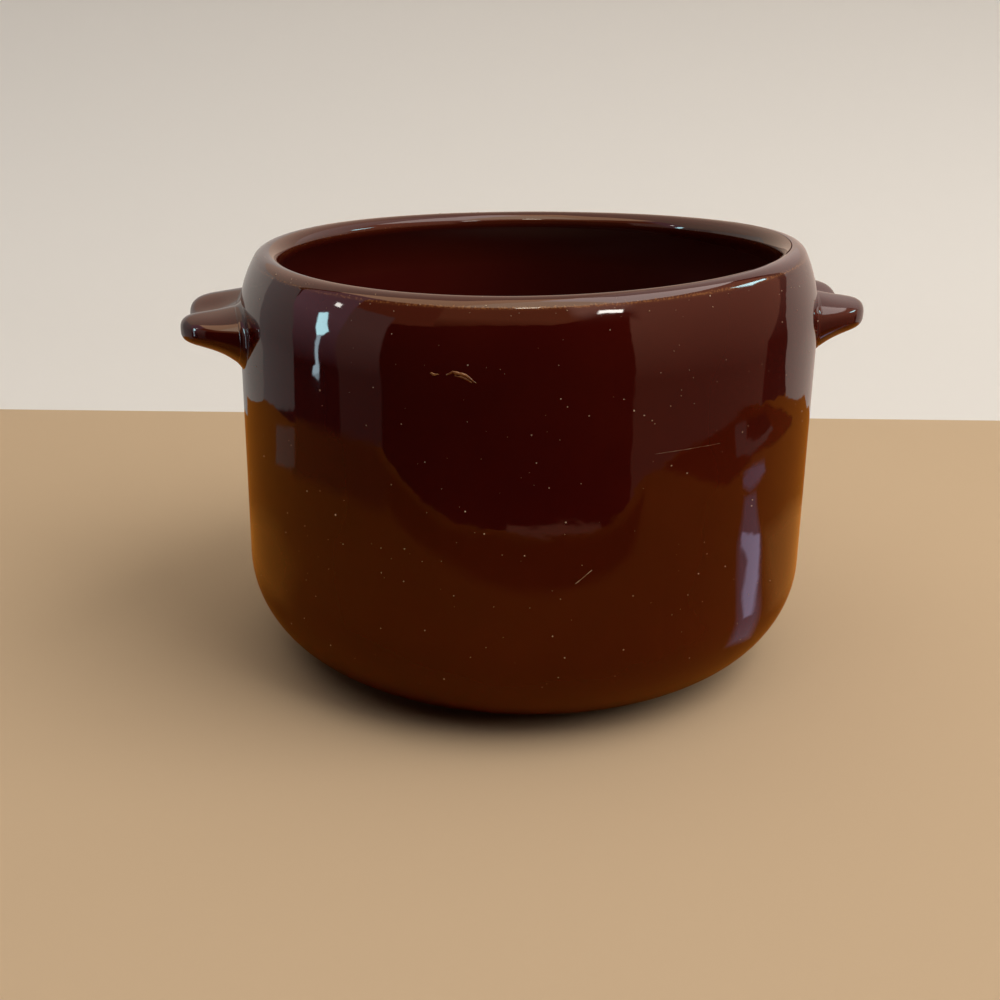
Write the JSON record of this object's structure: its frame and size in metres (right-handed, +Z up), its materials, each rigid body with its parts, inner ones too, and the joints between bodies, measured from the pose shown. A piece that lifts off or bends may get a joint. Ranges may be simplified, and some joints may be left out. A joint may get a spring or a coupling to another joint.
{
  "type": "bean pot",
  "caption": "Brown-glazed stoneware bean pot with a straight wall, rolled-in shoulder, round open mouth, dry foot ring and lobed lug handles on opposite sides for lifting.",
  "frame": {"origin": "on the pot's axis, in the plane of the foot ring's underside", "axes": "+Z up along the pot's axis, +X towards the right lug handle, -X towards the left one, and both lugs set 3 degrees round towards +Y"},
  "size_m": [0.2124, 0.178, 0.129],
  "materials": {
    "brown_glaze": "glossy dark reddish-brown glaze on stoneware, bare clay on the foot ring",
    "fired_slip": "fired slip under the same glossy brown glaze"
  },
  "bodies": {
    "root": {"pot_body": "brown_glaze", "left_lug": "brown_glaze", "right_lug": "brown_glaze", "left_slip_joint": "fired_slip", "right_slip_joint": "fired_slip"}
  },
  "joints": []
}
